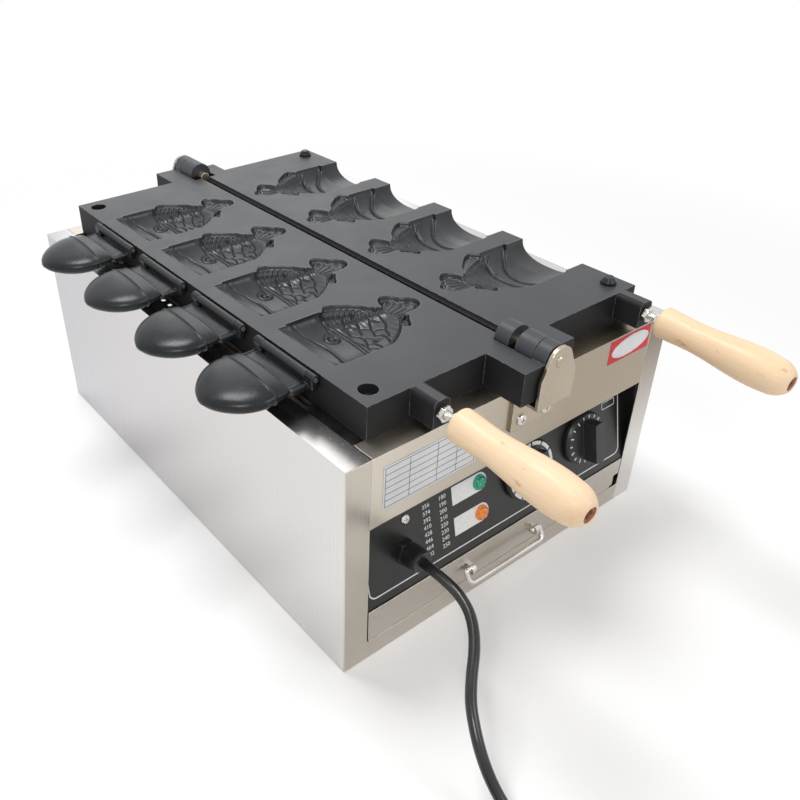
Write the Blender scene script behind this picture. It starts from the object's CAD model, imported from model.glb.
"""Countertop fish-cake maker: cast plates with fish moulds on a stainless cabinet.

Lengths are in millimetres until a piece's points go into its mesh, in metres.
"""
import math

import bpy
import numpy as np
from mathutils import Matrix, Vector


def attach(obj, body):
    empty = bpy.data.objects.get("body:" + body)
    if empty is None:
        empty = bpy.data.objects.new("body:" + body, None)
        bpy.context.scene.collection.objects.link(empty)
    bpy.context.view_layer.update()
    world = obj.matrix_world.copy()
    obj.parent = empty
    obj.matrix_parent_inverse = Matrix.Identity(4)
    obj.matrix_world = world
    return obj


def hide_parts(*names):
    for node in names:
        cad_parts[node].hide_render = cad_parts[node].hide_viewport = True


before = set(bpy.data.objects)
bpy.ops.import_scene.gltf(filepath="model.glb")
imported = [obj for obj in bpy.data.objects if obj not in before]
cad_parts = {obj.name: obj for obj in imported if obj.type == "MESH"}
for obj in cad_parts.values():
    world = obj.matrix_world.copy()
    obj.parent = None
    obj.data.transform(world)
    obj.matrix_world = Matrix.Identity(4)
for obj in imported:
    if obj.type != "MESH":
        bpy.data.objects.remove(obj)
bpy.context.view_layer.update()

MM = 0.001
TAU = 2 * math.pi

# Sizes shared with the solids
FRONT_Y = -280.0
PLATE_TOP = 253.3
EDGE_X = 164.0
PLATE_HALF, BOSS_LEN = 260.0, 27.0
FISH_Y = [(i - 1.5) * 105.5 - 1.75 for i in range(4)]
CORE_X, CORE_Z = 168.5, 249.5
CORE_LEN, CORE_HALF, KNUCKLE_R, CORE_DROOP = 82.0, 40.0, 3.8, math.radians(3.5)
ROD_Z, ROD_R, ROD_FREE = 241.8, 4.0, 18.0
HANDLE_R, HANDLE_LEN, HANDLE_DROOP = 17.2, 122.0, math.radians(2.5)
PANEL_Y, PANEL_Z, PANEL_LEAN = -278.5, 56.0, math.radians(12.5)
DIAL_UP, LAMP_X, POWER_UP, HEAT_UP = 51.0, -33.0, 64.0, 32.0
CORD_R = 4.6


def put(name, data):
    """A new object in the scene."""
    obj = bpy.data.objects.new(name, data)
    bpy.context.scene.collection.objects.link(obj)
    return obj


# ---------------------------------------------------------------- camera
def set_camera():
    """Camera at the picture's place: back is the way from its target to it, turned by its roll."""
    azimuth, elevation, roll = (math.radians(v) for v in (-36.98, 32.79, -0.57))
    target, distance = Vector((-17.10, -9.58, 92.16)), 964.22
    back = Vector((math.sin(azimuth) * math.cos(elevation), -math.cos(azimuth) * math.cos(elevation),
                   math.sin(elevation)))
    right = Vector((math.cos(azimuth), math.sin(azimuth), 0))
    up = back.cross(right)
    c, s = math.cos(roll), math.sin(roll)
    right, up = c * right + s * up, c * up - s * right
    data = bpy.data.cameras.new("camera")
    data.lens, data.sensor_width = 38.32, 36.0
    data.shift_x, data.shift_y = 0.0973, -0.0249
    data.clip_start, data.clip_end = 0.01, 20
    camera = put("camera", data)
    turn = Matrix((right, up, back)).transposed().to_4x4()
    camera.matrix_world = Matrix.Translation((target + back * distance) * MM) @ turn
    bpy.context.scene.camera = camera


set_camera()


# ---------------------------------------------------------------- shapes
class Shape:
    """Points and faces gathered from the parts of one piece."""

    def __init__(self):
        self.points, self.faces, self.count = [], [], 0

    def add(self, points, faces):
        self.points.append(np.asarray(points, float))
        self.faces += [[i + self.count for i in f] for f in faces]
        self.count += len(points)
        return self

    def moved(self, matrix):
        """The same shape after a 4 by 4 matrix."""
        out = Shape()
        for p in self.points:
            out.points.append(p @ matrix[:3, :3].T + matrix[:3, 3])
        out.faces, out.count = self.faces, self.count
        if np.linalg.det(matrix[:3, :3]) < 0:
            out.faces = [f[::-1] for f in self.faces]
        return out


def join(*shapes):
    """One shape of several."""
    out = Shape()
    for shape in shapes:
        out.add(np.vstack(shape.points), shape.faces)
    return out


def sheet_faces(rows, cols, wrap=False):
    """Quads of a grid of rows by cols points, row after row; wrap joins the last column to the first."""
    i = np.arange(rows - 1)[:, None] * cols
    j = np.arange(cols if wrap else cols - 1)[None, :]
    k = (j + 1) % cols
    return np.stack([i + j, i + k, i + cols + k, i + cols + j], -1).reshape(-1, 4).tolist()


def closed_tube(rings):
    """Closed skin over rings of equal size: quads between them and a flat face over each end."""
    rows, cols = rings.shape[:2]
    last = (rows - 1) * cols
    ends = [list(range(cols))[::-1], [last + k for k in range(cols)]]
    return rings.reshape(-1, 3), sheet_faces(rows, cols, True) + ends


def closed_ring(rings):
    """Skin over rings of equal size, of which the last joins the first."""
    rows, cols = rings.shape[:2]
    last = (rows - 1) * cols
    joint = [[last + k, last + (k + 1) % cols, (k + 1) % cols, k] for k in range(cols)]
    return rings.reshape(-1, 3), sheet_faces(rows, cols, True) + joint


def turned(profile, sides):
    """Rings of a profile of radius and height turned about z: x is r cos a, y is r sin a."""
    p = np.asarray(profile, float)
    a = np.arange(sides) * TAU / sides
    return np.stack([p[:, :1] * np.cos(a), p[:, :1] * np.sin(a), np.repeat(p[:, 1:], sides, 1)], -1)


def soft_box(lo, hi, r, steps=4):
    """Box with round edges: each octant of a ball of radius r, moved to its inner corner of the box."""
    lo, hi = np.asarray(lo, float), np.asarray(hi, float)
    quarter = np.linspace(0, math.pi / 2, steps + 1)
    a = np.concatenate([quarter + k * math.pi / 2 for k in range(4)])
    sx = np.concatenate([np.full(steps + 1, v) for v in (1, -1, -1, 1)])
    sy = np.concatenate([np.full(steps + 1, v) for v in (1, 1, -1, -1)])
    b = np.concatenate([quarter - math.pi / 2, quarter])
    b[0], b[-1] = -math.pi / 2 + 0.02, math.pi / 2 - 0.02
    sz = np.concatenate([np.full(steps + 1, -1.0), np.full(steps + 1, 1.0)])
    mid, half = (lo + hi) / 2, (hi - lo) / 2 - r
    cb = np.cos(b)[:, None]
    rings = np.stack([
        mid[0] + sx * half[0] + r * cb * np.cos(a),
        mid[1] + sy * half[1] + r * cb * np.sin(a),
        np.repeat((mid[2] + sz * half[2] + r * np.sin(b))[:, None], len(a), 1),
    ], -1)
    return closed_tube(rings)


def along(path, radius, sides):
    """Tube along a path: each ring stands square to the way, r(cos a side + sin a up) about its point."""
    path = np.asarray(path, float)
    way = np.gradient(path, axis=0)
    way /= np.linalg.norm(way, axis=1)[:, None]
    side = np.cross([0, 0.001, 1], way)
    side /= np.linalg.norm(side, axis=1)[:, None]
    up = np.cross(way, side)
    a = np.arange(sides) * TAU / sides
    r = np.broadcast_to(np.asarray(radius, float), (len(path),))[:, None, None]
    rings = path[:, None] + r * (np.cos(a)[None, :, None] * side[:, None]
                                 + np.sin(a)[None, :, None] * up[:, None])
    return closed_tube(rings)


def smooth_path(points, per):
    """Catmull-Rom curve through the points: each stretch is a cubic with its neighbours' slopes."""
    p = np.asarray(points, float)
    q = np.vstack([2 * p[0] - p[1], p, 2 * p[-1] - p[-2]])
    t = np.linspace(0, 1, per, endpoint=False)[:, None]
    out = []
    for i in range(len(p) - 1):
        a, b, c, d = q[i:i + 4]
        out.append(0.5 * (2 * b + (c - a) * t + (2 * a - 5 * b + 4 * c - d) * t ** 2
                          + (3 * b - a - 3 * c + d) * t ** 3))
    return np.vstack(out + [p[-1:]])


def slab(outline, z0, z1):
    """Flat outline, counterclockwise, raised from z0 to z1."""
    p = np.asarray(outline, float)
    rings = np.stack([np.column_stack([p, np.full(len(p), z)]) for z in (z0, z1)])
    return closed_tube(rings)


def round_rect(w, h, r, steps=6):
    """Outline of a rectangle with round corners about the origin, counterclockwise."""
    out = []
    for k, (sx, sy) in enumerate(((1, 1), (-1, 1), (-1, -1), (1, -1))):
        a = np.linspace(k, k + 1, steps + 1) * math.pi / 2
        out.append(np.column_stack([sx * (w / 2 - r) + r * np.cos(a), sy * (h / 2 - r) + r * np.sin(a)]))
    return np.vstack(out)


def band(outer, inner, z0, z1):
    """Ring between two outlines of equal count, raised from z0 to z1."""
    return closed_ring(np.stack([np.column_stack([o, np.full(len(o), z)]) for o, z in
                                 ((outer, z0), (outer, z1), (inner, z1), (inner, z0))]))


def turn(axis, angle):
    """4 by 4 matrix of a turn about an axis through the origin."""
    return np.array(Matrix.Rotation(angle, 4, Vector(axis)))


def shift(x, y, z):
    """4 by 4 matrix of a move."""
    return np.array(Matrix.Translation((x, y, z)))


# Frames: the leaning panel (x, up, out of its face) and a handle's rod (z runs forward)
ON_PANEL = shift(0, PANEL_Y, PANEL_Z) @ turn((1, 0, 0), math.pi / 2 - PANEL_LEAN)


def on_rod(x):
    """Frame of the rod that stands x away from the hinge."""
    return shift(x, -PLATE_HALF - BOSS_LEN, ROD_Z) @ turn((1, 0, 0), math.pi / 2 + HANDLE_DROOP)


def piece(name, shape, body, material, covers=(), smooth=40):
    """Puts a shape into the scene on its body, in place of the solids it covers.

    It is smooth but for edges sharper than the given angle in degrees; 0 leaves it flat.
    """
    mesh = bpy.data.meshes.new(name)
    points = np.vstack(shape.points) * MM
    mesh.from_pydata(points.tolist(), [], shape.faces)
    mesh.validate()
    mesh.update()
    obj = put(name, mesh)
    mesh.materials.append(material)
    if smooth:
        mesh.shade_smooth()
        mesh.set_sharp_from_angle(angle=math.radians(smooth))
    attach(obj, body)
    if covers:
        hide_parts(*covers)
    return obj


# ---------------------------------------------------------------- finishes
def socket_group(name, inputs, outputs):
    tree = bpy.data.node_groups.new(name, "ShaderNodeTree")
    for label, kind, value in inputs:
        s = tree.interface.new_socket(name=label, in_out="INPUT", socket_type=kind)
        if value is not None:
            s.default_value = value
    for label, kind in outputs:
        tree.interface.new_socket(name=label, in_out="OUTPUT", socket_type=kind)
    return tree, tree.nodes.new("NodeGroupInput"), tree.nodes.new("NodeGroupOutput")


def math_node(tree, kind, a, b=None, clamp=False):
    n = tree.nodes.new("ShaderNodeMath")
    n.operation, n.use_clamp = kind, clamp
    for k, v in enumerate((a, b)):
        if isinstance(v, (int, float)):
            n.inputs[k].default_value = v
        elif v is not None:
            tree.links.new(v, n.inputs[k])
    return n.outputs[0]


def times(tree, a, b, clamp=False):
    return math_node(tree, "MULTIPLY", a, b, clamp)


def noise(tree, vector, scale, detail=3.0, rough=0.55):
    n = tree.nodes.new("ShaderNodeTexNoise")
    n.inputs["Detail"].default_value = detail
    n.inputs["Roughness"].default_value = rough
    tree.links.new(vector, n.inputs["Vector"])
    if isinstance(scale, (int, float)):
        n.inputs["Scale"].default_value = scale
    else:
        tree.links.new(scale, n.inputs["Scale"])
    return n.outputs["Fac"]


def blend_color(tree, fac, a, b):
    n = tree.nodes.new("ShaderNodeMix")
    n.data_type = "RGBA"
    ins = (n.inputs[0], n.inputs[6], n.inputs[7])
    for s, v in zip(ins, (fac, a, b)):
        if isinstance(v, (int, float)):
            s.default_value = v
        elif isinstance(v, (tuple, list)):
            s.default_value = (*v, 1)
        else:
            tree.links.new(v, s)
    return n.outputs[2]


def ramp(tree, fac, lo, hi):
    """0 below lo, 1 above hi, and straight between."""
    n = tree.nodes.new("ShaderNodeMapRange")
    n.inputs["From Min"].default_value = lo
    n.inputs["From Max"].default_value = hi
    tree.links.new(fac, n.inputs["Value"])
    return n.outputs["Result"]


def make_edge_group():
    """Mask of rubbed edges: how far the rounded normal leans from the true one, broken up by noise."""
    tree, g_in, g_out = socket_group(
        "rubbed_edges",
        [("Radius", "NodeSocketFloat", 0.001), ("Amount", "NodeSocketFloat", 1.0)],
        [("Mask", "NodeSocketFloat"), ("Normal", "NodeSocketVector")])
    bevel = tree.nodes.new("ShaderNodeBevel")
    bevel.samples = 6
    tree.links.new(g_in.outputs["Radius"], bevel.inputs["Radius"])
    geometry = tree.nodes.new("ShaderNodeNewGeometry")
    dot = tree.nodes.new("ShaderNodeVectorMath")
    dot.operation = "DOT_PRODUCT"
    tree.links.new(bevel.outputs[0], dot.inputs[0])
    tree.links.new(geometry.outputs["Normal"], dot.inputs[1])
    lean = math_node(tree, "SUBTRACT", 1.0, dot.outputs["Value"])
    lean = times(tree, lean, 9.0, True)
    place = tree.nodes.new("ShaderNodeTexCoord")
    patches = ramp(tree, noise(tree, place.outputs["Object"], 260.0, 4.0), 0.34, 0.62)
    mask = times(tree, lean, patches)
    mask = times(tree, mask, g_in.outputs["Amount"], True)
    tree.links.new(mask, g_out.inputs["Mask"])
    tree.links.new(bevel.outputs[0], g_out.inputs["Normal"])
    return tree


def make_grain_group():
    """Streaks or clouds: noise on coordinates squeezed by a factor for each axis."""
    tree, g_in, g_out = socket_group(
        "grain",
        [("Squeeze", "NodeSocketVector", (1, 1, 1)), ("Scale", "NodeSocketFloat", 100.0)],
        [("Value", "NodeSocketFloat")])
    place = tree.nodes.new("ShaderNodeTexCoord")
    product = tree.nodes.new("ShaderNodeVectorMath")
    product.operation = "MULTIPLY"
    tree.links.new(place.outputs["Object"], product.inputs[0])
    tree.links.new(g_in.outputs["Squeeze"], product.inputs[1])
    value = noise(tree, product.outputs["Vector"], g_in.outputs["Scale"], 5.0, 0.6)
    tree.links.new(value, g_out.inputs["Value"])
    return tree


EDGES = make_edge_group()
GRAIN = make_grain_group()


def grain(tree, squeeze, scale):
    n = tree.nodes.new("ShaderNodeGroup")
    n.node_tree = GRAIN
    n.inputs["Squeeze"].default_value = squeeze
    n.inputs["Scale"].default_value = scale
    return n.outputs["Value"]


def finish(name, color, shade, rough, metal=0.0, cloud=30, streak=None, streak_mix=0.0,
           bump=(500, 0.02), edge=None, coat=0.0, spec=0.5, worn=None):
    """One finish: two tones mixed by clouds and streaks, a roughness range, fine relief and rubbed edges.

    rough is the range from the smoothest to the roughest spot, cloud is a scale, streak is a squeeze
    and a scale, bump is (scale, height in mm) with or without a squeeze before it, edge is (radius in
    mm, colour, amount, roughness), worn is a function that alters the tone and the roughness.
    """
    cloud = cloud if isinstance(cloud, tuple) else (1, 1, 1, cloud)
    bump = bump if len(bump) == 5 else (1, 1, 1, *bump)
    material = bpy.data.materials.new(name)
    material.use_nodes = True
    tree = material.node_tree
    shader = tree.nodes["Principled BSDF"]
    value = ramp(tree, grain(tree, cloud[:3], cloud[3]), 0.32, 0.68)
    tone = blend_color(tree, value, color, shade)
    gloss = tree.nodes.new("ShaderNodeMapRange")
    gloss.inputs["To Min"].default_value, gloss.inputs["To Max"].default_value = rough
    tree.links.new(value, gloss.inputs["Value"])
    roughness = gloss.outputs["Result"]
    if streak:
        lines = ramp(tree, grain(tree, streak[:3], streak[3]), 0.3, 0.7)
        darker = tuple(c * 0.72 for c in shade)
        tone = blend_color(tree, times(tree, lines, streak_mix), tone, darker)
        roughness = math_node(tree, "ADD", roughness, times(tree, lines, 0.06))
    if worn:
        tone, roughness = worn(tree, shader, tone, roughness)
    normal = None
    if edge:
        n = tree.nodes.new("ShaderNodeGroup")
        n.node_tree = EDGES
        n.inputs["Radius"].default_value = edge[0] * MM
        n.inputs["Amount"].default_value = edge[2]
        tone = blend_color(tree, n.outputs["Mask"], tone, edge[1])
        near = tree.nodes.new("ShaderNodeMix")
        tree.links.new(n.outputs["Mask"], near.inputs[0])
        tree.links.new(roughness, near.inputs[2])
        near.inputs[3].default_value = edge[3]
        roughness = near.outputs[0]
        normal = n.outputs["Normal"]
    relief = tree.nodes.new("ShaderNodeBump")
    relief.inputs["Strength"].default_value = 1.0
    relief.inputs["Distance"].default_value = bump[4] * MM
    tree.links.new(grain(tree, bump[:3], bump[3]), relief.inputs["Height"])
    if normal is not None:
        tree.links.new(normal, relief.inputs["Normal"])
    tree.links.new(tone, shader.inputs["Base Color"])
    tree.links.new(roughness, shader.inputs["Roughness"])
    tree.links.new(relief.outputs[0], shader.inputs["Normal"])
    for label, value in (("Metallic", metal), ("Coat Weight", coat), ("Coat Roughness", 0.12),
                         ("IOR", 1.45), ("Specular IOR Level", spec)):
        shader.inputs[label].default_value = value
    return material


def height_mask(tree, axis, lo, hi):
    """0 to 1 between two places in millimetres along an axis of the resting piece."""
    place = tree.nodes.new("ShaderNodeTexCoord")
    axes = tree.nodes.new("ShaderNodeSeparateXYZ")
    tree.links.new(place.outputs["Object"], axes.inputs[0])
    return ramp(tree, times(tree, axes.outputs[axis], 1000.0), lo, hi)


def plate_face(tree, tone):
    """Mask and tone of the plates' ground face."""
    face = height_mask(tree, "Z", PLATE_TOP - 0.12, PLATE_TOP - 0.02)
    return face, blend_color(tree, face, tone, (0.048, 0.0515, 0.057))


def mould_border(tree, shader, tone, roughness):
    """The moulds' border has the face's tone and dullness, and their grooves hold burnt batter."""
    groove = tree.nodes.new("ShaderNodeAttribute")
    groove.attribute_name = "groove"
    burnt = times(tree, groove.outputs["Fac"], 0.85)
    tone = blend_color(tree, burnt, tone, (0.003, 0.003, 0.003))
    dull = times(tree, groove.outputs["Fac"], 0.35)
    roughness = math_node(tree, "ADD", roughness, dull)
    face, tone = plate_face(tree, tone)
    return tone, math_node(tree, "ADD", roughness, times(tree, face, 0.14))


def ground_face(tree, shader, tone, roughness):
    """The plates' ground faces shine more than their cast sides; the hinge knuckles are rubbed bare."""
    face, tone = plate_face(tree, tone)
    roughness = math_node(tree, "SUBTRACT", roughness, times(tree, face, 0.12))
    tree.links.new(math_node(tree, "ADD", times(tree, face, 0.2), 0.2),
                   shader.inputs["Specular IOR Level"])
    outside = height_mask(tree, "X", -164.6, -165.4)
    high = height_mask(tree, "Z", 247.0, 249.0)
    mask = times(tree, times(tree, outside, high), 0.85)
    return blend_color(tree, mask, tone, (0.045, 0.046, 0.048)), roughness


def wall_tone(tree, shader, tone, roughness):
    """The wall cools toward its back; its front strip is warmer, most of all high on the right."""
    cooled = blend_color(tree, height_mask(tree, "Y", -150.0, 260.0), tone, (0.53, 0.52, 0.54))
    high = blend_color(tree, height_mask(tree, "Z", 60.0, 200.0), (0.70, 0.67, 0.64), (0.25, 0.20, 0.15))
    strip = blend_color(tree, height_mask(tree, "X", 0.0, 100.0), (0.56, 0.52, 0.455), high)
    return blend_color(tree, height_mask(tree, "Y", -278.0, -279.6), cooled, strip), roughness


def front_tone(tree, shader, tone, roughness):
    """Front sheets are lightest at the upper left and turn warm and darker toward the upper right."""
    across = height_mask(tree, "X", -190.0, 60.0)
    across = blend_color(tree, across, (0.70, 0.645, 0.555), (0.33, 0.27, 0.195))
    upper = times(tree, height_mask(tree, "Z", 120.0, 150.0), height_mask(tree, "Y", 0.0, -100.0))
    return blend_color(tree, times(tree, upper, 0.85), tone, across), roughness


def brown_flecks(tree, shader, tone, roughness):
    """A few short brown flecks along the grain."""
    fleck = ramp(tree, grain(tree, (1, 0.4, 1), 110), 0.65, 0.72)
    return blend_color(tree, times(tree, fleck, 0.6), tone, (0.50, 0.26, 0.11)), roughness


LOOKS = {
    "cast": finish("cast_coated", (0.014, 0.014, 0.015), (0.021, 0.021, 0.022), (0.50, 0.60), cloud=22,
        bump=(900, 0.05), edge=(0.9, (0.22, 0.23, 0.24), 1.0, 0.34), worn=ground_face),
    "mould": finish("mould_coated", (0.012, 0.0135, 0.015), (0.030, 0.033, 0.037), (0.20, 0.34), cloud=40,
        bump=(700, 0.04), edge=(0.5, (0.07, 0.075, 0.08), 0.6, 0.22), spec=0.5, worn=mould_border),
    "core": finish("core_coated", (0.009, 0.011, 0.0125), (0.018, 0.0215, 0.0245), (0.20, 0.34),
        bump=(420, 0.10), edge=(0.8, (0.11, 0.12, 0.13), 0.9, 0.3), spec=0.32),
    "side_steel": finish("polished_sheet", (0.66, 0.64, 0.625), (0.69, 0.67, 0.655), (0.20, 0.24), 1.0,
        cloud=3, streak=(1, 1, 0.02, 500), streak_mix=0.025, bump=(1, 1, 0.03, 600, 0.0006),
        edge=(0.8, (0.86, 0.85, 0.84), 0.6, 0.2), worn=wall_tone),
    "front_steel": finish("brushed_sheet", (0.53, 0.485, 0.43), (0.58, 0.535, 0.48), (0.24, 0.31), 1.0,
        cloud=5, streak=(0.02, 1, 1, 700), streak_mix=0.10, bump=(0.03, 1, 1, 800, 0.0015),
        edge=(0.8, (0.84, 0.81, 0.76), 0.9, 0.2), worn=front_tone),
    "bracket": finish("bracket_plate", (0.42, 0.36, 0.275), (0.46, 0.40, 0.31), (0.24, 0.32), 1.0,
        streak=(0.04, 1, 1, 300), streak_mix=0.06, bump=(300, 0.002),
        edge=(0.8, (0.88, 0.85, 0.79), 0.9, 0.15)),
    "inner_steel": finish("zinc_sheet", (0.50, 0.51, 0.52), (0.60, 0.61, 0.62), (0.35, 0.5), 1.0,
        cloud=60, bump=(200, 0.02), edge=(0.8, (0.7, 0.7, 0.7), 0.5, 0.3)),
    "bright": finish("turned_steel", (0.60, 0.575, 0.54), (0.68, 0.655, 0.62), (0.18, 0.26), 1.0,
        cloud=60, bump=(300, 0.004), edge=(0.6, (0.9, 0.89, 0.87), 0.8, 0.15)),
    "black_panel": finish("panel_lacquer", (0.011, 0.0105, 0.010), (0.017, 0.016, 0.015), (0.30, 0.38),
        cloud=40, bump=(700, 0.012), edge=(0.7, (0.12, 0.12, 0.12), 0.5, 0.3), coat=0.05),
    "print": finish("white_print", (0.80, 0.80, 0.79), (0.70, 0.70, 0.69), (0.45, 0.55), cloud=300,
        bump=(900, 0.01)),
    "foil": finish("silver_foil", (0.62, 0.62, 0.63), (0.70, 0.70, 0.71), (0.30, 0.42), 0.85, cloud=50,
        streak=(40, 1, 1, 30), streak_mix=0.15, bump=(300, 0.01), edge=(0.5, (0.8, 0.8, 0.8), 0.5, 0.25)),
    "ink": finish("black_ink", (0.05, 0.05, 0.05), (0.08, 0.08, 0.08), (0.5, 0.6), cloud=300,
        bump=(900, 0.01)),
    "red": finish("red_film", (0.60, 0.022, 0.035), (0.68, 0.03, 0.045), (0.20, 0.32), cloud=60,
        bump=(250, 0.01), spec=0.15),
    "sheath": finish("heater_sheath", (0.20, 0.18, 0.17), (0.32, 0.29, 0.27), (0.4, 0.6), 0.9, cloud=50,
        bump=(500, 0.03)),
    "copper": finish("drawn_copper", (0.62, 0.30, 0.18), (0.72, 0.38, 0.24), (0.25, 0.4), 1.0, cloud=80,
        bump=(400, 0.01)),
    "bakelite": finish("moulded_plastic", (0.62, 0.58, 0.48), (0.70, 0.66, 0.56), (0.4, 0.55), cloud=60,
        edge=(0.6, (0.75, 0.72, 0.64), 0.5, 0.4)),
    "sleeve": finish("silicone_sleeve", (0.40, 0.05, 0.04), (0.50, 0.08, 0.06), (0.4, 0.55), cloud=90,
        bump=(600, 0.02)),
    "green": finish("green_lens", (0.0, 0.26, 0.14), (0.01, 0.38, 0.22), (0.06, 0.12), cloud=200,
        coat=0.5, bump=(150, 0.01)),
    "orange": finish("orange_lens", (0.74, 0.17, 0.01), (0.85, 0.27, 0.03), (0.06, 0.12), cloud=200,
        coat=0.5, bump=(150, 0.01)),
    "nylon": finish("gland_nylon", (0.010, 0.010, 0.010), (0.015, 0.015, 0.015), (0.30, 0.42), cloud=120,
        bump=(600, 0.02), edge=(0.9, (0.16, 0.16, 0.16), 0.9, 0.25)),
    "knob": finish("dial_plastic", (0.020, 0.020, 0.020), (0.030, 0.030, 0.031), (0.32, 0.42), cloud=90,
        bump=(800, 0.02), edge=(0.9, (0.10, 0.10, 0.10), 0.6, 0.3)),
    "cord": finish("cord_sheath", (0.008, 0.008, 0.009), (0.012, 0.012, 0.013), (0.2, 0.3), cloud=60,
        coat=0.2),
    "brass": finish("pin_brass", (0.70, 0.62, 0.40), (0.78, 0.71, 0.50), (0.2, 0.32), 1.0, cloud=200,
        streak=(1, 30, 1, 60), streak_mix=0.2, bump=(500, 0.01)),
    "wood": finish("turned_beech", (0.92, 0.66, 0.41), (0.97, 0.74, 0.50), (0.42, 0.55),
        cloud=(6, 0.8, 6, 9), streak=(9, 0.35, 9, 34), streak_mix=0.34, bump=(8, 0.4, 8, 120, 0.03),
        coat=0.08, worn=brown_flecks),
    "bore": finish("bare_bore", (0.42, 0.17, 0.10), (0.20, 0.08, 0.045), (0.5, 0.7), cloud=420,
        bump=(300, 0.03)),
}

CARRIED = {
    "side_steel": ["left_wall", "right_wall"],
    "front_steel": ["rear_panel", "front_rail", "upper_panel", "drip_tray", "tray_guides"],
    "inner_steel": ["base_pan", "heat_shield", "heater_bars"],
    "black_panel": ["control_plate"],
    "bright": ["panel_screw", "bracket_screws", "thermostat_shaft", "timer_shaft", "tray_clips",
               "tray_handle"],
    "bracket": ["front_bracket", "rear_bracket", "front_hinge_pin", "rear_hinge_pin"],
    "foil": ["spec_plate"],
    "red": ["front_label"],
    "sheath": ["left_heater", "right_heater", "core_pins"],
    "copper": ["sensor_bulb"],
    "bakelite": ["thermostat_body", "timer_body", "lamp_bodies", "terminal_block"],
    "sleeve": ["wire_harness"],
    "nylon": ["gland_body", "gland_nut", "gland_locknut"],
    "cord": ["plug_body"],
    "brass": ["plug_pins"],
    "cast": ["left_plate", "right_plate"],
    "core": ["locating_pegs"],
    "knob": ["thermostat_knob", "timer_knob"],
}
for look, names in CARRIED.items():
    for node_name in names:
        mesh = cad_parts[node_name].data
        mesh.materials.clear()
        mesh.materials.append(LOOKS[look])


# ---------------------------------------------------------------- cord
ROUTE = [
    (-127, -294, 98), (-127, -304, 98), (-127, -320, 98), (-128, -336, 97), (-132, -352, 94),
    (-140, -366, 89), (-151, -378, 83), (-164, -389, 76), (-176, -401, 68), (-184, -414, 58),
    (-189, -427, 46), (-191, -440, 33), (-191, -454, 21), (-190, -470, 12), (-190, -488, 7),
    (-190, -506, 6), (-190, -516, 6),
]
COIL_AT = np.array([-250.0, -526.0, 6.0])
COIL_R, COIL_PITCH, COIL_TURNS, COIL_LEAD = 60.0, 10.0, 2, 10.0
STRAP_Y, STRAP_Z, STRAP_HALF = 47.5, 11.0, 5


def coil_way():
    """Spiral in on the table, half a turn that climbs by a pitch, and a spiral out on top."""
    def ring(a, r, h):
        return COIL_AT + np.column_stack([r * np.cos(a), -r * np.sin(a), h])
    a = np.linspace(0, TAU * COIL_TURNS, 72 * COIL_TURNS + 1)
    b = np.linspace(0, math.pi, 37)[1:-1]
    sweep, inner = TAU * COIL_TURNS, COIL_R - COIL_PITCH * COIL_TURNS
    lower = ring(a, COIL_R - COIL_PITCH * a / TAU, 0 * a)
    climb = ring(sweep + b, inner - COIL_PITCH * np.minimum(b, math.pi - b) / TAU,
                 COIL_PITCH * (1 - np.cos(b)) / 2)
    upper = ring(sweep + math.pi + a, inner + COIL_PITCH * a / TAU, 0 * a + COIL_PITCH)
    return np.vstack([lower, climb, upper, upper[-1:] + [0, COIL_LEAD, 0]])


def make_cord():
    """Cord from the gland to its coil, one tube; its strap is a loop of flat band round the turns."""
    way = np.vstack([smooth_path(ROUTE, 5)[:-1], [ROUTE[-1]], coil_way()])
    shape = Shape().add(*along(way, CORD_R, 20))
    cord = piece("cord_run", shape, "cabinet", LOOKS["cord"], ("power_cord", "cord_coil"))
    loop = round_rect(23.8, 21.8, 5.6)
    inside = round_rect(21.6, 19.6, 4.6)
    strap = Shape().add(*band(loop, inside, -STRAP_HALF, STRAP_HALF))
    stand = np.array([[0, 0, 1, COIL_AT[0]], [1, 0, 0, COIL_AT[1] + STRAP_Y], [0, 1, 0, STRAP_Z],
                      [0, 0, 0, 1]], float)
    tie = piece("cord_strap", strap.moved(stand), "cabinet", LOOKS["nylon"], ("cord_tie",))


make_cord()

# ---------------------------------------------------------------- fish moulds
# Rows of FISH_BODY are (s, lowest t, highest t, depth); outlines and lines are (s, t)
FISH_BODY = np.array([
    [25, -40.5, 42, 18], [36, -41.5, 42, 19.5], [52, -41.5, 42, 20], [63, -41.5, 41.5, 20],
    [72, -41.5, 38.5, 19.5], [80, -41, 35, 18.5], [88, -36.5, 31.5, 17], [95, -31.5, 28, 15],
    [102, -25.5, 23.5, 12.5], [108, -19, 19, 10], [114, -12, 15.5, 7.5], [118, -8, 13, 6]])
FISH_TAIL = [(112, 15), (117, 27), (125, 32.5), (135, 25), (138.5, 17), (147.5, 12),
             (148.5, 3), (144, -4), (134, -7.5), (122, -7), (112, -14)]
BACK_FIN = [(62, 38), (64, 41), (73, 50.5), (99.5, 30.5), (103, 23), (110, 15), (98, 18), (80, 28)]
BELLY_FIN = [(104, -22), (105, -25), (111, -29), (118, -17), (123, -12), (121, -8), (112, -10)]


def rounded(outline):
    """Outline with its corners cut back at a quarter of each side."""
    p = np.array(outline, float)
    ahead = np.roll(p, -1, axis=0)
    pairs = np.stack([0.75 * p + 0.25 * ahead, 0.25 * p + 0.75 * ahead], 1)
    return [tuple(v) for v in pairs.reshape(-1, 2)]


FISH_TAIL, BACK_FIN, BELLY_FIN = rounded(FISH_TAIL), rounded(BACK_FIN), rounded(BELLY_FIN)


def step(v, a, b):
    """Smooth step of v from 0 at a to 1 at b."""
    t = np.clip((v - a) / (b - a), 0, 1)
    return t * t * (3 - 2 * t)


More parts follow.
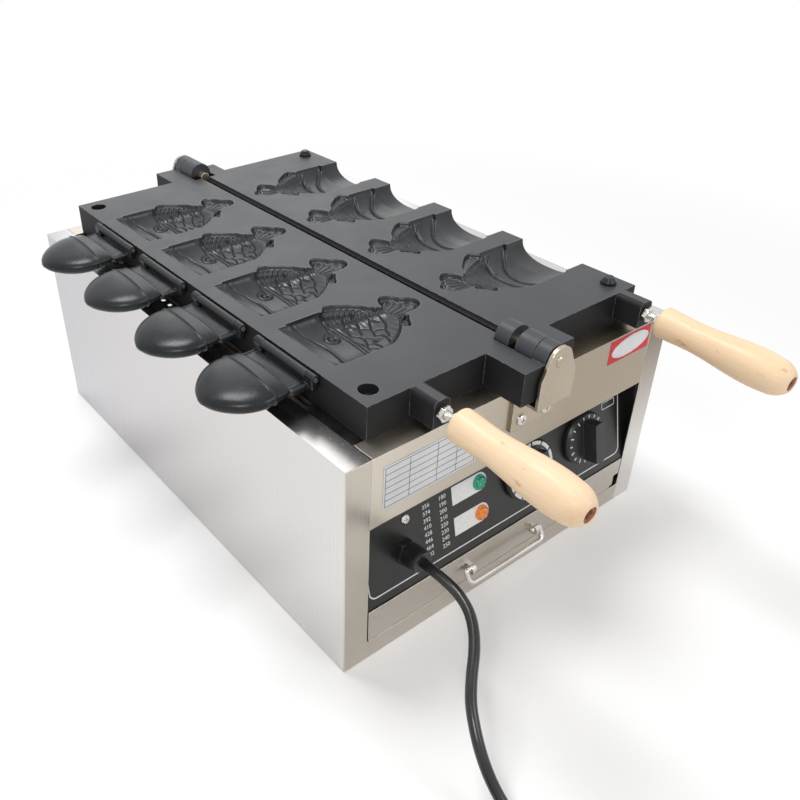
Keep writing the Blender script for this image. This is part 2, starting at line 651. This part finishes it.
def inside_by(outline, s, t):
    """Signed distance inside a polygon, found from its nearest edge and the parity of its crossings."""
    odd = np.zeros(s.shape, bool)
    for (x0, y0), (x1, y1) in zip(outline, outline[1:] + outline[:1]):
        if y1 != y0:
            odd ^= ((t < y0) != (t < y1)) & (s < x0 + (t - y0) * (x1 - x0) / (y1 - y0))
    best = line_distance(outline + outline[:1], s, t)
    return np.where(odd, best, -best)


def bell(v, w):
    """1 at v = 0, falling off to both sides over a width w."""
    return np.exp(-(v / w) ** 2)


LIP = [(30.7, 40.7), (33.8, 37.7), (36.1, 33.5), (39.3, 27.6), (41.8, 20.7), (43.5, 15.7), (44.8, 10.3),
       (45.4, 4), (44.9, -4), (43.2, -12.8), (40.5, -20), (37, -29), (33, -36), (30, -40)]
LIP_RIGHT = [(26.8, 41.2), (28, 38.8), (32.4, 34.2), (37.8, 28.1), (44.3, 20.6), (48.6, 12.3), (50.8, 3.6),
             (51.3, -4.7), (50, -12.5), (47.9, -19.5), (44, -28), (38, -36), (34, -40)]
GILL = [(56, 41), (60.7, 38.2), (64, 33.8), (66.5, 26.8), (68.3, 19), (68.9, 9.8), (68.5, 0.8),
        (67.7, -8.5), (65.9, -18.7), (63, -28), (59, -36), (56, -40)]
GILL_BACK = [(s + 3.4, t) for s, t in GILL]
EYE_S, EYE_T = 58.6, 18.2
SCALES = [
    [(79.6, 30.4), (79.1, 26.9), (77.7, 23.7), (76.8, 19.6), (75.7, 14), (74.7, 11.4)],
    [(73, 28), (75.6, 24), (76.8, 19.6)],
    [(88, 29.4), (89.7, 25.8), (89.8, 21.6), (87.7, 16.7), (85.3, 12.4), (83.5, 6.7)],
    [(77.4, 23.3), (81.7, 21.5), (84.6, 17.5), (86.8, 13.5)],
    [(97.8, 24.2), (99.3, 20.3), (99.4, 16.2), (96.3, 11.1), (93.6, 7.1), (92.1, 1.8), (90.1, -3.3)],
    [(86.8, 13.5), (90.4, 10.4), (92.7, 5.2)],
    [(99.1, 15.8), (101.5, 11.7), (103.6, 7.3)],
    [(108.7, 14.8), (107.6, 10.7), (106.8, 5.6), (104.8, -0.9), (100.4, -5.3), (98, -11.5), (96.5, -14.6)],
    [(92.4, 3), (97, 0.8), (100.4, -4.6)],
    [(114.5, 10.5), (116.5, 4.6), (116.2, -2.5), (112, -10), (106.2, -16.5), (101.2, -20)],
    [(75.2, 12), (79.6, 6.5), (80.4, 0.5), (79, -5), (76.5, -10)],
    [(80.4, 2), (84.4, -0.8), (86.2, -6), (85.6, -12)],
    [(90.1, -3.3), (93.6, -6.2), (94.4, -12), (92.6, -18), (90, -23)],
    [(79.4, -8), (82.4, -13), (82.8, -19), (81, -26)],
    [(72.2, 4), (74.6, -3), (74.8, -10), (73.4, -17)],
    [(75.4, -15), (78.6, -22), (78, -30), (75, -36)],
]


def line_distance(points, s, t):
    """Distance to a row of points joined by straight lines."""
    best = np.full(s.shape, 1e9)
    for (x0, y0), (x1, y1) in zip(points, points[1:]):
        dx, dy = x1 - x0, y1 - y0
        k = np.clip(((s - x0) * dx + (t - y0) * dy) / (dx * dx + dy * dy), 0, 1)
        best = np.minimum(best, np.hypot(s - x0 - k * dx, t - y0 - k * dy))
    return best


def fish_depth(s, t, open_mouth):
    """Depth of a fish mould at s from the plate's outer edge and t along the row, and its grooves.

    The body is a trough of superellipse section; its floor has grooves or ridges for the lip, the
    gills, the eye's rings and the scales. The fins and the tail are shallow pockets with ribs.
    """
    lo, hi, deep = (np.interp(s, FISH_BODY[:, 0], FISH_BODY[:, k]) for k in (1, 2, 3))
    hi = hi - step(s, 61, 64) * (1.4 + 0.8 * np.cos(TAU * s / 4.3))
    u = np.clip(np.abs(t - (lo + hi) / 2) / ((hi - lo) / 2 - 0.5), 0, 1)
    steep = step(s, 60, 64) * (t > (lo + hi) / 2)
    body = (deep - 2.3) * (1 - u ** (2.1 + 1.1 * steep)) ** (0.5 - 0.14 * steep)
    body = body * ((s >= 25) & (s <= 118))
    mouth_half, mouth_deep, mouth_from = (38.3, 18.7, -1.0) if open_mouth else (39.0, 8.6, 16.0)
    v = np.clip(np.abs(t) / mouth_half, 0, 1)
    mouth = mouth_deep * (1 - v ** 2.4) ** 0.43 * ((s >= mouth_from) & (s <= 25.3))
    body = np.maximum(body, mouth)

    eye = np.hypot(s - EYE_S, t - EYE_T)
    if open_mouth:
        ridges = line_distance(LIP_RIGHT, s, t), line_distance(GILL, s + 5.5, t)
        relief = sum(0.9 * bell(ridge - 2.0, 0.7) - 1.5 * bell(ridge, 1.1) for ridge in ridges)
        relief += 1.2 * bell(eye, 1.2)
    else:
        lip, gill = line_distance(LIP, s, t), line_distance(GILL, s, t)
        relief = 1.4 * bell(lip, 0.7) - 0.4 * bell(lip - 2.2, 1.1)
        relief += 1.1 * bell(gill, 0.55) + 1.1 * bell(line_distance(GILL_BACK, s, t), 0.55)
        near_gill = bell(line_distance(GILL, s + 0.5, t), 3.0) * step(t, 12, 18) * (1 - step(t, 32, 36))
        relief += 0.2 * np.cos(TAU * (t - 0.5 * s) / 2.6) * near_gill
        relief += 1.0 * bell(eye - 7.4, 0.6) - 0.5 * bell(eye - 5.4, 1.2) + 1.7 * bell(eye - 3.0, 0.7)
        relief -= 0.5 * bell(eye, 1.6)
    scales = np.min([line_distance(line, s, t) for line in SCALES], axis=0)
    fade = 0.3 if open_mouth else 1.0
    relief += fade * 1.3 * bell(scales, 0.6) * step(s, 71, 73)
    fin = np.hypot((s - 87) / 1.7, t + 10)
    relief += (0.4 + 0.6 * np.cos((t + 0.35 * s) * 2.4)) * (1 - step(fin, 2.6, 3.6))
    groove = np.clip(relief, 0, 1) * step(body, 2.5, 6)
    body = np.where(body > 2.5, body - np.clip(-relief, -1.9, 3.0) * step(body, 2.5, 6), body)

    fins = np.zeros(s.shape)
    slant = 0.9 * (s - 62) - 0.08 * (t - 38)
    for outline, pitch in ((BACK_FIN, 4.3), (BELLY_FIN, 4.0)):
        d = inside_by(outline, s, t) - 0.5
        wave = np.cos(TAU * slant / pitch)
        ribs = 0.6 * np.sign(wave) * np.abs(wave) ** 0.6 * step(d, 0.8, 2.5)
        fins = np.maximum(fins, step(d, -0.2, 1.2) * (4.4 + ribs))
    d = inside_by(FISH_TAIL, s, t) - 0.4
    fan = np.cos(np.arctan2(t - 2, s - 100) * 30)
    ribs = 0.6 * np.sign(fan) * np.abs(fan) ** 0.6 * step(d, 1.5, 4) * (1 - step(s, 131, 136))
    ribs += 0.9 * bell(d - 3.0, 1.2) - 0.9 * bell(d - 6.5, 2.2) * step(s, 126, 132)
    fins = np.maximum(fins, step(d, -0.2, 1.8) * (4.3 + ribs))
    return np.maximum(body, np.clip(fins, 0, 5.35)), groove


GRID, BORDER_CELLS, FACE_LIFT, SKIRT = 0.5, 5, 0.03, 1.8


def make_moulds(side):
    """Four moulds of a plate: the part of a grid that lies in a fish, and a narrow border on the face."""
    s = np.arange(0 if side > 0 else 15.0, 150.1, GRID)
    if side > 0:
        s[0] = -FACE_LIFT
    t = np.arange(-44.0, 53.6, GRID)
    sg, tg = np.meshgrid(s, t)
    deep, groove = fish_depth(sg, tg, side > 0)
    rows, cols = sg.shape
    wanted = deep > 0.02
    for _ in range(BORDER_CELLS):
        grown = wanted.copy()
        grown[1:] |= wanted[:-1]
        grown[:-1] |= wanted[1:]
        grown[:, 1:] |= wanted[:, :-1]
        grown[:, :-1] |= wanted[:, 1:]
        wanted = grown
    faces = np.array(sheet_faces(rows, cols))
    faces = faces[wanted.ravel()[faces].all(1)]
    points = np.stack([side * (EDGE_X - sg), tg, PLATE_TOP + FACE_LIFT - deep], -1).reshape(-1, 3)
    if side > 0:
        edge = np.arange(rows - 1) * cols
        edge = edge[wanted[:-1, 0] & wanted[1:, 0]]
        low = points[np.arange(rows) * cols] - [0, 0, SKIRT]
        base = len(points)
        points = np.vstack([points, low])
        skirt = np.stack([edge + cols, edge, base + edge // cols, base + edge // cols + 1], -1)
        faces = np.vstack([faces[:, ::-1], skirt])
    groove = np.append(groove.ravel(), np.zeros(len(points) - groove.size))
    used, faces = np.unique(faces, return_inverse=True)
    points, faces = points[used], faces.reshape(-1, 4)
    name, body = ("left", "left_wing") if side < 0 else ("right", "right_wing")
    for k, fy in enumerate(FISH_Y, 1):
        shape = Shape().add(points + [0, fy, 0], faces.tolist())
        mould = piece(f"{name}_fish_{k}_mould", shape, body, LOOKS["mould"], smooth=60)
        mould.data.attributes.new("groove", "FLOAT", "POINT").data.foreach_set("value", groove[used])


make_moulds(-1)
make_moulds(1)

# ---------------------------------------------------------------- mouth cores
# Rows of CORE_FORM are shares of the length and the half width, then how far it goes down and up
CORE_FORM = np.array([
    [0.254, 0.85, 1, 5], [0.272, 0.93, 6.5, 6.5], [0.354, 0.965, 8.4, 9], [0.425, 0.98, 10.0, 10.9],
    [0.434, 1, 11.1, 12.6], [0.444, 1, 11.2, 12.7], [0.453, 0.982, 10.2, 11.9], [0.549, 0.985, 10.2, 12.6],
    [0.659, 0.92, 9.8, 12], [0.756, 0.81, 9, 11], [0.841, 0.66, 7.8, 9.4],
    [0.915, 0.48, 6, 7.2], [0.963, 0.31, 4.2, 5], [1, 0.1, 1.5, 2]])


def core_shape():
    """Core as it closes a mouth: a dome of superellipse rings, its leaf, and two arms with their bosses."""
    k, sides = smooth_path(CORE_FORM, 5), 64
    a = np.arange(sides) * TAU / sides
    v = np.sin(a)
    around = np.sign(np.cos(a)) * np.abs(np.cos(a)) ** 0.9
    height = np.sign(v) * np.abs(v) ** 0.9
    rise = np.where(v[None] < 0, k[:, 2:3], k[:, 3:4]) * height
    rings = np.stack([np.repeat(k[:, :1] * CORE_LEN, sides, 1), k[:, 1:2] * CORE_HALF * around,
                      KNUCKLE_R + rise], -1)
    tip = np.array([[CORE_LEN + 0.4, 0, KNUCKLE_R + 0.2]])
    points, faces = closed_tube(rings)
    last = len(points) - sides
    faces = faces[:-1] + [[last + j, last + (j + 1) % sides, len(points)] for j in range(sides)]
    shape = Shape().add(np.vstack([points, tip]), faces)
    z0 = KNUCKLE_R + 0.3
    z1 = z0 + 5.7
    shape.add(*soft_box((4.6, -36, z0), (21, 36, z1), 1.4))
    for end in (-1, 1):
        inner, outer = sorted((end * 30.5, end * 42))
        shape.add(*soft_box((-2.4, inner, 0), (4.2, outer, z1), 1.6))
        lo, hi = sorted((end * 30.5, end * 37))
        shape.add(*soft_box((0, lo, z0), (20, hi, z1), 1.4))
        r, long = KNUCKLE_R + 0.2, outer - inner
        profile = [(2.2, 0), (r - 0.6, 0), (r, 0.6), (r, long - 0.6), (r - 0.6, long), (2.2, long)]
        boss = Shape().add(*closed_tube(turned(profile, 40)))
        shape = join(shape, boss.moved(shift(0, inner, 0) @ turn((1, 0, 0), -math.pi / 2)))
    return shape


CORE = core_shape()
for index, fy in enumerate(FISH_Y, 1):
    place = shift(-CORE_X, fy, CORE_Z) @ turn((0, 1, 0), math.pi - CORE_DROOP)
    piece(f"core_{index}_casting", CORE.moved(place), f"core_{index}", LOOKS["core"],
          (f"mouth_core_{index}",), smooth=35)


# ---------------------------------------------------------------- handles
def handle_radius(t):
    """Radius of the grip at a share t of its length: shoulder, waist and belly joined by half cosines."""
    shoulder, waist, waist_at, belly_at = 0.84, 0.785, 0.26, 0.74
    front = waist + (shoulder - waist) * 0.5 * (1 + np.cos(math.pi * t / waist_at))
    middle = waist + (1 - waist) * 0.5 * (1 - np.cos(math.pi * (t - waist_at) / (belly_at - waist_at)))
    back = 1 - 0.25 * ((t - belly_at) / (1 - belly_at)) ** 2
    return HANDLE_R * np.where(t < waist_at, front, np.where(t < belly_at, middle, back))


BORE_DEEP, THREAD_PITCH, NUT_HIGH = 11.5, 1.25, 5.0


def make_handle(name, x, body):
    """Turned grip on a threaded rod with two nuts; the far end has a bore down to the rod's tip."""
    end = 1 - HANDLE_R / HANDLE_LEN
    t = np.linspace(0.02, end, 48)
    ball = np.linspace(0.05, 1.08, 16)
    r_end = float(handle_radius(np.array(end)))
    neck = float(handle_radius(np.array(0.0)))
    profile = [(4.1, 0.0), (neck - 2.6, 0.0), (neck - 1.2, 0.5), (neck - 0.4, 1.3)]
    profile += list(zip(handle_radius(t), t * HANDLE_LEN))
    profile += [(r_end * math.cos(b), HANDLE_LEN * end + HANDLE_R * 1.125 * math.sin(b)) for b in ball]
    top, floor = HANDLE_LEN, HANDLE_LEN - BORE_DEEP
    profile += [(6.7, top - 0.3), (6.5, top - 0.8), (6.5, top - 1.7), (4.3, top - 1.9), (4.3, floor),
                (4.1, floor)]
    grip = Shape().add(*closed_ring(turned(profile, 72)))
    place = on_rod(x) @ shift(0, 0, ROD_FREE)
    piece(f"{name}_grip", grip.moved(place), body, LOOKS["wood"], (f"{name}_handle",), smooth=50)
    lining = [(4.25, floor + 0.1), (4.25, top - 1.85), (6.45, top - 1.65), (6.45, top - 0.8),
              (6.15, top - 0.8), (6.0, top - 1.35), (3.9, top - 1.55), (3.9, floor + 0.1)]
    liner = Shape().add(*closed_ring(turned(lining, 48)))
    piece(f"{name}_bore", liner.moved(place), body, LOOKS["bore"])

    z = np.arange(-20, ROD_FREE + 45.01, 0.3)
    a = np.arange(36) * TAU / 36
    zz, aa = np.meshgrid(z, a, indexing="ij")
    thread = np.abs(np.mod(zz / THREAD_PITCH - aa / TAU, 1) - 0.5) * 2
    r = ROD_R - 0.55 + 0.5 * thread
    rings = np.stack([r * np.cos(aa), r * np.sin(aa), zz], -1)
    rod = Shape().add(*closed_tube(rings))
    piece(f"{name}_threaded_rod", rod.moved(on_rod(x)), body, LOOKS["bright"],
          (f"{name}_rod",), smooth=60)
    nut = hex_nut(ROD_R * 1.85, ROD_R - 0.1, NUT_HIGH)
    nuts = join(*[nut.moved(shift(0, 0, z0)) for z0 in (0.45, ROD_FREE - NUT_HIGH - 0.15)])
    piece(f"{name}_hex_nuts", nuts.moved(on_rod(x)), body, LOOKS["bright"],
          (f"{name}_nuts",), smooth=25)


def hex_nut(corner, bore, height):
    """Hexagon of the given corner radius, its ends turned to a cone, with a bore."""
    a = np.arange(72) * TAU / 72
    flat = corner * math.cos(math.pi / 6)
    hexagon = flat / np.cos(np.mod(a, math.pi / 3) - math.pi / 6)
    levels = [(0, flat - 0.1), (0.7, hexagon), (height - 0.7, hexagon), (height, flat - 0.1),
              (height, bore), (0, bore)]
    rings = [np.column_stack([r * np.cos(a), r * np.sin(a), np.full(72, z)]) for z, r in levels]
    return Shape().add(*closed_ring(np.stack(rings)))


make_handle("left", -112.0, "left_wing")
make_handle("right", 144.0, "right_wing")


# ---------------------------------------------------------------- control panel
def digits(text, size):
    """A number as a thin flat mesh about the origin."""
    curve = bpy.data.curves.new("digits", "FONT")
    curve.body, curve.size, curve.extrude = text, size, 0.06
    curve.align_x, curve.align_y, curve.resolution_u = "CENTER", "CENTER", 2
    helper = put("digits", curve)
    bpy.context.view_layer.update()
    mesh = bpy.data.meshes.new_from_object(helper)
    points = np.zeros(len(mesh.vertices) * 3)
    mesh.vertices.foreach_get("co", points)
    faces = [list(p.vertices) for p in mesh.polygons]
    bpy.data.objects.remove(helper)
    bpy.data.curves.remove(curve)
    bpy.data.meshes.remove(mesh)
    return Shape().add(points.reshape(-1, 3), faces)


def make_panel_print():
    """White line round the panel, the two columns of numbers and the two lamp tags."""
    border = Shape().add(*band(round_rect(340, 110, 8), round_rect(337.6, 107.6, 6.8), 0, 0.12))
    corner = Shape().add(*band(round_rect(20, 8, 2), round_rect(18.4, 6.4, 1.2), 0, 0.12))
    parts = [border.moved(shift(0, 63, 0.02)), corner.moved(shift(153.5, 70.5, 0.02))]
    for k in range(8):
        for x, value in ((-98.0, 356 + 18 * k), (-78.5, 180 + 10 * k)):
            parts.append(digits(str(value), 6.0).moved(shift(x, 69 - 7.1 * k, 0.1)))
    a = np.linspace(-math.pi / 2, math.pi / 2, 25)
    left, r = -67.0, 9.4
    tag = np.vstack([[(left, -r)], np.column_stack([LAMP_X + r * np.cos(a), r * np.sin(a)]), [(left, r)]])
    for up in (POWER_UP, HEAT_UP):
        parts.append(Shape().add(*slab(tag, 0.02, 0.25)).moved(shift(0, up, 0)))
    piece("panel_print", join(*parts).moved(ON_PANEL), "cabinet", LOOKS["print"], smooth=0)


make_panel_print()


def make_lens(name, up, look):
    """Domed lens with a flange; its crown has six shallow facets that fade out to its edge."""
    r = np.concatenate([np.linspace(0.4, 6.0, 18), [6.2, 6.9, 7.3, 7.5, 7.5]])
    crown = 2.5 + 3.4 * np.sqrt(np.clip(1 - (r[:18] / 6.1) ** 2, 0, 1))
    z = np.concatenate([crown, [2.4, 2.3, 2.0, 1.5, 0]])
    a = np.arange(72) * TAU / 72
    rr, aa = np.meshgrid(r, a, indexing="ij")
    zz = np.repeat(z[:, None], 72, 1) + 0.35 * np.cos(6 * aa) * np.sin(np.clip(rr / 6, 0, 1) * math.pi)
    rings = np.stack([rr * np.cos(aa), rr * np.sin(aa), zz], -1)[::-1]
    shape = Shape().add(*closed_tube(rings)).moved(ON_PANEL @ shift(LAMP_X, up, 0))
    piece(f"{name}_cap", shape, "cabinet", LOOKS[look], (name,), smooth=60)


make_lens("power_lens", POWER_UP, "green")
make_lens("heat_lens", HEAT_UP, "orange")


def dial_marks(x, r, arcs, body, name, numbers):
    """White marks on a dial's skirt: short strokes, or arcs and plain numbers."""
    level, stroke = 8.1, 0.65
    parts = []
    for k in range(arcs):
        start = TAU * k / arcs
        if numbers:
            a = np.linspace(start, start + TAU / arcs * 0.84, 10)
            arc = np.column_stack([np.cos(a), np.sin(a)])
            outline, z = np.vstack([(r - 1.9) * arc, (r - 5.4) * arc[::-1]]), level - 0.55
        else:
            inner, outer = (r - 9.0, r - 2.4) if k % 2 == 0 else (r - 5.4, r - 2.4)
            flat = np.array([(inner, stroke), (inner, -stroke), (outer, -stroke), (outer, stroke)])
            c, s = math.cos(start), math.sin(start)
            outline, z = flat @ [[c, s], [-s, c]], level - 0.5
        parts.append(Shape().add(*slab(outline, z - 0.3, z + 0.35)))
    for k in range(numbers):
        a = math.radians(225 - 270 * k / (numbers - 1))
        place = shift((r - 9.5) * math.cos(a), (r - 9.5) * math.sin(a), level + 0.1)
        parts.append(digits(str(50 * k), 4.2).moved(place @ turn((0, 0, 1), a - math.pi / 2)))
    shape = join(*parts).moved(ON_PANEL @ shift(x, DIAL_UP, 0))
    piece(name, shape, body, LOOKS["print"], smooth=0)


dial_marks(29.0, 31.0, 12, "temperature_dial", "temperature_marks", 7)
dial_marks(110.0, 27.5, 18, "timer_dial", "timer_marks", 0)


def make_labels():
    """Ruled lines on the silver plate, and a bare oval with a white line on the red label."""
    upright = shift(0, FRONT_Y, 0) @ turn((1, 0, 0), math.pi / 2)
    half_w, half_h, thin = 49.5, 19.5, 0.22
    bars = [(0, -half_h + half_h * k / 3, half_w, thin, 0.08) for k in range(7)]
    bars += [(x, 0, thin, half_h, 0.09) for x in (-half_w, -24.0, 6.0, 28.0, half_w)]
    rules = [Shape().add(*slab([(x - w, y - h), (x + w, y - h), (x + w, y + h), (x - w, y + h)], 0, high))
             for x, y, w, h, high in bars]
    piece("spec_rules", join(*rules).moved(upright @ shift(-111.5, 186.5, 0.41)), "cabinet",
          LOOKS["ink"], smooth=0)
    a = np.arange(72) * TAU / 72
    oval = np.column_stack([27.5 * np.cos(a), 10.2 * np.sin(a)])
    inner = np.column_stack([25.8 * np.cos(a), 8.7 * np.sin(a)])
    lean = turn((0, 0, 1), math.radians(4))
    for name, shape, look in (("label_oval_line", band(oval, inner, 0, 0.10), "print"),
                              ("label_oval", slab(inner, 0, 0.07), "foil")):
        piece(name, Shape().add(*shape).moved(upright @ shift(142.5, 206.8, 0.21) @ lean), "cabinet",
              LOOKS[look], smooth=0)


make_labels()


# ---------------------------------------------------------------- stage
# Name, place and width in metres, and watts
LAMPS = [("top", (-0.25, 0.5, 2.1), 0.7, 22), ("left", (-1.5, -1.3, 1.7), 0.6, 16),
         ("back", (0.85, 1.55, 1.35), 1.2, 5), ("front", (0.7, -2.1, 1.6), 1.0, 11)]


def set_stage():
    """Pale floor and world that show as white behind the object, and soft lamps at a plain level."""
    floor_mesh = bpy.data.meshes.new("floor")
    floor_mesh.from_pydata([(-6, -6, 0), (6, -6, 0), (6, 6, 0), (-6, 6, 0)], [], [(0, 1, 2, 3)])
    floor = put("floor", floor_mesh)
    floor.location.z = -0.0005
    material = bpy.data.materials.new("pale_floor")
    material.use_nodes = True
    shader = material.node_tree.nodes["Principled BSDF"]
    shader.inputs["Base Color"].default_value = (0.96, 0.96, 0.96, 1)
    shader.inputs["Roughness"].default_value = 0.9
    shader.inputs["Specular IOR Level"].default_value = 0.1
    tree = material.node_tree
    place = tree.nodes.new("ShaderNodeTexCoord")
    far = tree.nodes.new("ShaderNodeVectorMath")
    far.operation = "LENGTH"
    tree.links.new(place.outputs["Object"], far.inputs[0])
    clear = tree.nodes.new("ShaderNodeBsdfTransparent")
    fade = tree.nodes.new("ShaderNodeMixShader")
    tree.links.new(ramp(tree, far.outputs["Value"], 0.62, 1.15), fade.inputs[0])
    tree.links.new(shader.outputs[0], fade.inputs[1])
    tree.links.new(clear.outputs[0], fade.inputs[2])
    tree.links.new(fade.outputs[0], tree.nodes["Material Output"].inputs["Surface"])
    floor_mesh.materials.append(material)

    world = bpy.data.worlds.new("studio")
    bpy.context.scene.world = world
    world.use_nodes = True
    tree = world.node_tree
    tree.nodes.clear()
    path = tree.nodes.new("ShaderNodeLightPath")
    seen = math_node(tree, "MAXIMUM", path.outputs["Is Glossy Ray"], path.outputs["Is Transmission Ray"])
    seen = math_node(tree, "MAXIMUM", path.outputs["Is Camera Ray"], seen)
    strength = math_node(tree, "ADD", times(tree, seen, 0.58), 0.42)
    background = tree.nodes.new("ShaderNodeBackground")
    background.inputs["Color"].default_value = (1, 1, 1, 1)
    tree.links.new(strength, background.inputs["Strength"])
    output = tree.nodes.new("ShaderNodeOutputWorld")
    tree.links.new(background.outputs[0], output.inputs[0])

    for name, place, size, power in LAMPS:
        data = bpy.data.lights.new(name, "AREA")
        data.size, data.energy = size, power
        lamp = put(name, data)
        lamp.location = place
        lamp.rotation_euler = (Vector((0, 0, 0.15)) - Vector(place)).to_track_quat("-Z", "Y").to_euler()


set_stage()
bpy.context.scene.view_settings.view_transform = "Standard"
